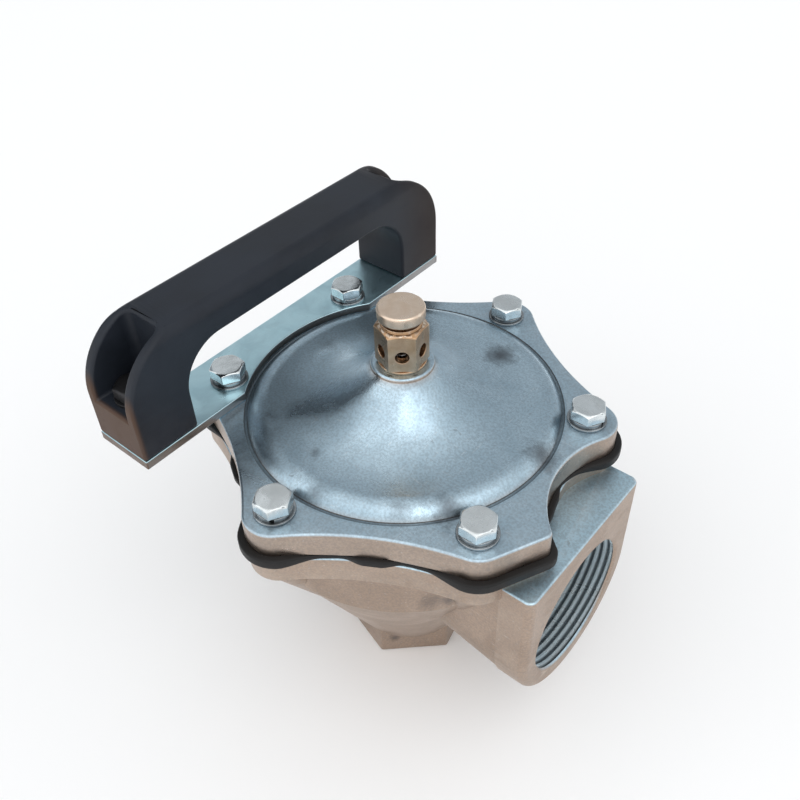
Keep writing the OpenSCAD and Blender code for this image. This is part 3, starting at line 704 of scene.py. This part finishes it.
def pipe_thread(name, crest_mm, start, axis, length_mm):
    across = [1 - abs(v) for v in axis]
    finish = cut_thread(name, start, across, crest_mm, crest_mm + thread_depth)
    turns = math.ceil(length_mm / thread_pitch) + spare_turns
    side = axis.orthogonal().normalized()
    first = start - axis * thread_pitch * mm
    bm = bmesh.new()
    line = []
    for along, deep in ridge_shape:
        out_mm = crest_mm + deep * thread_depth
        place = first + axis * (along * thread_pitch * mm) + side * (out_mm * mm)
        line.append(bm.verts.new(place))
    edges = [bm.edges.new((a, b)) for a, b in zip(line, line[1:])]
    bmesh.ops.spin(bm, geom=line + edges, cent=first, axis=axis,
                   dvec=axis * (thread_pitch * mm / ridge_steps),
                   angle=2 * math.pi * turns, steps=ridge_steps * turns)
    bmesh.ops.remove_doubles(bm, verts=bm.verts, dist=ridge_join)
    for cut, way in ((start, -axis), (start + axis * length_mm * mm, axis)):
        bmesh.ops.bisect_plane(bm, geom=bm.verts[:] + bm.edges[:] + bm.faces[:],
                               dist=ridge_cut_slack, plane_co=cut, plane_no=way,
                               clear_outer=True)
    bmesh.ops.recalc_face_normals(bm, faces=bm.faces)
    bm.faces.ensure_lookup_table()
    face = bm.faces[0]
    out = away_from_axis(face.calc_center_median(), start, axis)
    if face.normal.dot(out) > 0:
        bmesh.ops.reverse_faces(bm, faces=bm.faces)
    settle(name, bm, finish, sharp=ridge_crease)


# Rubber sheet and its squeezed edge

sheet_crease = 8.0
sheet_edge_from = 53 * mm
sheet_edge_slope = 0.3
beside_bolt_within = 5 * mm
sheet_draw_in_mm = 2.0
lobe_step_deg, half_lobe_step_deg = 60, 30
lobe_deg = (7.0, 15.0)
ear_from_deg, ear_to_deg = -32, -4
ear_deg = (4.0, 10.0)
beside_ear_deg = (12.0, 15.0)
hollow_deg = (20.0, 28.0)
hollow_out_mm, flank_in_mm = 0.7, 1.35
flank_height_mm, lobe_more_mm, hollow_more_mm = 1.5, 1.9, 0.9
long_edge = 1.5 * mm
long_edge_slack = 0.1 * mm
long_edge_cuts = 3
edge_thickness = 2.4 * mm
edge_corner = math.radians(60)
corner_mm, corner_segments = 0.6, 4


def is_sheet_edge(face):
    middle = face.calc_center_median()
    beside_bolt = any((middle.xy - bolt).length < beside_bolt_within for bolt in bolt_places)
    upright = abs(face.normal.z) < sheet_edge_slope
    return upright and middle.xy.length > sheet_edge_from and not beside_bolt


def rubber_sheet():
    bm = plain_copy("diaphragm")
    rim = {v for f in bm.faces if is_sheet_edge(f) for v in f.verts}
    for vert in rim:
        vert.co.xy -= vert.co.xy.normalized() * sheet_draw_in_mm * mm
    piece = settle("rubber_sheet", bm, rubber, body=None, sharp=sheet_crease)
    even_shading(piece)
    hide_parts("diaphragm")
    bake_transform(piece)


def eased(value, low, high):
    share = min(1.0, max(0.0, (value - low) / (high - low)))
    return share * share * (3 - 2 * share)


# Thick at the lobes and the ear, pinched at their flanks, a little thicker in mid-hollow
def rubber_bulge(place):
    turn = math.degrees(math.atan2(place.y, place.x))
    from_lobe = abs(turn % lobe_step_deg - half_lobe_step_deg)
    lobe = 1 - eased(from_lobe, *lobe_deg)
    if ear_from_deg < turn < ear_to_deg:
        ear = 1 - eased(abs(turn - ear_turn_deg), *ear_deg)
        lobe = max(lobe, ear, eased(-turn, *beside_ear_deg))
    waist = eased(from_lobe, *hollow_deg) * (1 - lobe)
    out_mm = hollow_out_mm * waist - flank_in_mm * (1 - lobe) * (1 - waist)
    height_mm = flank_height_mm + lobe_more_mm * lobe + hollow_more_mm * waist
    return out_mm * mm, height_mm * mm


def squeezed_rubber_edge():
    bm = plain_copy("diaphragm")
    others = [f for f in bm.faces if not is_sheet_edge(f)]
    bmesh.ops.delete(bm, geom=others, context="FACES")
    level_edges = [e for e in bm.edges
                   if is_level(e, long_edge_slack) and e.calc_length() > long_edge]
    bmesh.ops.subdivide_edges(bm, edges=level_edges, cuts=long_edge_cuts, use_grid_fill=True)
    bmesh.ops.solidify(bm, geom=bm.faces[:], thickness=edge_thickness)
    bmesh.ops.recalc_face_normals(bm, faces=bm.faces)
    level = (sheet_low + sheet_top) / 2
    half = (sheet_top - sheet_low) / 2
    for vert in bm.verts:
        out, height = rubber_bulge(vert.co)
        vert.co.z = level + (vert.co.z - level) * height / 2 / half
        vert.co.xy += vert.co.xy.normalized() * out
    corners = [e for e in bm.edges if e.calc_face_angle(0.0) > edge_corner]
    soften(bm, corners, corner_mm, corner_segments)
    settle("squeezed_rubber_edge", bm, rubber)


# Springs and inner pieces

wire_crease = 60.0


def coil_spring(name, node):
    piece = settle(name, joined_copy(node), wire, sharp=wire_crease)
    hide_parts(node)
    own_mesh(piece)


def dress(node, finish):
    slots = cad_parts[node].data.materials
    slots.clear()
    slots.append(finish)


# Making the pieces, with the width of each rounded edge in mm

bonnet_mm, strip_mm, handle_mm, button_mm = 0.9, 0.35, 1.0, 0.3
fastener_mm, fine_mm = 0.25, 0.2
hexagon_angle = 40.0

place_camera()
cast_body()
pipe_thread("side_port_thread", side_crest_mm, side_thread_start, port_axis, side_thread_mm)
pipe_thread("bottom_port_thread", bottom_crest_mm, bottom_thread_start, valve_axis,
            bottom_thread_mm)
rounded_piece("cast_bonnet", "bonnet", bonnet_mm, bonnet_metal,
              segments=3, wanted=on_bonnet_rim)
rubber_sheet()
squeezed_rubber_edge()
rounded_piece("bolt_heads", "cover_bolts", fastener_mm, bolt_zinc,
              angle=hexagon_angle)
rounded_piece("long_bolts", "bracket_bolts", fastener_mm, bolt_zinc,
              angle=hexagon_angle)
rounded_piece("split_washers", "spring_washers", fine_mm, washer_zinc)
rounded_piece("plain_washers", "flat_washers", fine_mm, washer_zinc)
rounded_piece("plated_strip", "handle_bracket", strip_mm, strip_zinc)
rounded_piece("bridge_handle", "handle", handle_mm, plastic, segments=3)
rounded_piece("pocket_screws", "handle_screws", fastener_mm, black_steel,
              angle=hexagon_angle)
rounded_piece("pocket_washers", "handle_washers", fine_mm, black_steel)
rounded_piece("pocket_nuts", "handle_nuts", fine_mm, black_steel,
              angle=hexagon_angle)
rounded_piece("pilot_hexagon", "pilot_body", fine_mm, hexagon_brass)
rounded_piece("pilot_ring", "pilot_gasket", fine_mm, hexagon_brass)
rounded_piece("turned_button", "push_button", button_mm, button_brass, "button")
coil_spring("closing_spring", "main_spring")
coil_spring("return_spring", "button_spring")
for inner in ("upper_disc", "disc_screw", "disc_nut"):
    dress(inner, bolt_zinc)
for inner in ("seat_pad", "poppet"):
    dress(inner, rubber)
for inner in ("pilot_seat", "pilot_stem", "poppet_nut"):
    dress(inner, button_brass)


# Pale floor and soft light, with dim cards that the metal's sides mirror

floor_reach = 12.0
floor_drop = 0.2 * mm
floor_pale = (0.965, 0.965, 0.965)
floor_paler = (0.975, 0.975, 0.975)
card_distance = 20.0
dim_cards = (
    ("back_dim_card", Vector((-0.25, 0.88, 0.42)).normalized(), 0.60, 0.95, (0.50, 0.52, 0.54)),
    ("left_dim_card", Vector((-0.93, 0.02, 0.40)).normalized(), 0.78, 0.99, (0.23, 0.26, 0.29)))
world_low = (0.86, 0.87, 0.88)
world_high = (1.03, 1.04, 1.05)
world_full_at = 0.9


def stage_sheet(name, reach, place, finish):
    bm = bmesh.new()
    bmesh.ops.create_grid(bm, x_segments=2, y_segments=2, size=reach, matrix=place)
    mesh = bpy.data.meshes.new(name)
    bm.to_mesh(mesh)
    bm.free()
    mesh.materials.append(finish)
    sheet = bpy.data.objects.new(name, mesh)
    scene.collection.objects.link(sheet)
    return sheet


def pale_floor():
    finish, tree, skin = new_finish("pale_floor", metallic=0.0, roughness=0.9)
    cloud = noise(tree, object_place(tree), size_mm=300.0, detail=2.0)
    colour = colour_mix(tree, cloud, floor_pale, floor_paler)
    tree.links.new(colour, skin.inputs["Base Color"])
    floor = stage_sheet("pale_floor", floor_reach, Matrix(), finish)
    floor.location.z = -floor_drop


def dim_card(name, towards, low, high, shade):
    finish = bpy.data.materials.new(name)
    finish.use_nodes = True
    finish.cycles.emission_sampling = "NONE"
    tree = finish.node_tree
    tree.nodes.remove(tree.nodes["Principled BSDF"])
    way = add(tree, "VectorMath", {0: object_place(tree)}, operation="NORMALIZE")
    facing = vector_maths(tree, "DOT_PRODUCT", way.outputs["Vector"], towards)["Value"]
    clear = add(tree, "BsdfTransparent").outputs[0]
    dim = add(tree, "Emission", {"Color": (*shade, 1.0), "Strength": 1.0}).outputs[0]
    share = between(tree, facing, low, high)
    card_face = add(tree, "MixShader", {0: share, 1: clear, 2: dim}).outputs[0]
    tree.links.new(card_face, tree.nodes["Material Output"].inputs["Surface"])
    turn = towards.to_track_quat("Z", "Y").to_matrix().to_4x4()
    place = Matrix.Translation(towards * card_distance) @ turn
    card = stage_sheet(name, card_distance * math.tan(math.acos(low)), place, finish)
    card.visible_camera = False


def soft_sun(name, strength, spread_deg, comes_from):
    lamp = bpy.data.lights.new(name, "SUN")
    lamp.energy = strength
    lamp.angle = math.radians(spread_deg)
    sun = bpy.data.objects.new(name, lamp)
    sun.rotation_euler = Vector(comes_from).to_track_quat("Z", "Y").to_euler()
    scene.collection.objects.link(sun)


def studio_world():
    world = bpy.data.worlds.new("studio_world")
    world.use_nodes = True
    tree = world.node_tree
    rise = part_of(tree, add(tree, "TexCoord").outputs["Generated"], "Z")
    colour = colour_mix(tree, between(tree, rise, 0.0, world_full_at), world_low, world_high)
    glow = tree.nodes["Background"]
    tree.links.new(colour, glow.inputs["Color"])
    white = add(tree, "Background", {"Color": (1, 1, 1, 1), "Strength": 1.0})
    ray = add(tree, "LightPath").outputs
    mirrored = work_out(tree, "MAXIMUM", ray["Is Glossy Ray"], ray["Is Transmission Ray"])
    seen = work_out(tree, "MAXIMUM", ray["Is Camera Ray"], mirrored)
    mixed = add(tree, "MixShader", {0: seen, 1: glow.outputs[0], 2: white.outputs[0]})
    tree.links.new(mixed.outputs[0], tree.nodes["World Output"].inputs["Surface"])
    scene.world = world


pale_floor()
studio_world()
for card in dim_cards:
    dim_card(*card)
soft_sun("overhead_softbox", strength=0.36, spread_deg=46, comes_from=(0.48, -0.12, 0.86))
soft_sun("front_softbox", strength=0.45, spread_deg=90, comes_from=(-0.12, -0.75, 0.65))
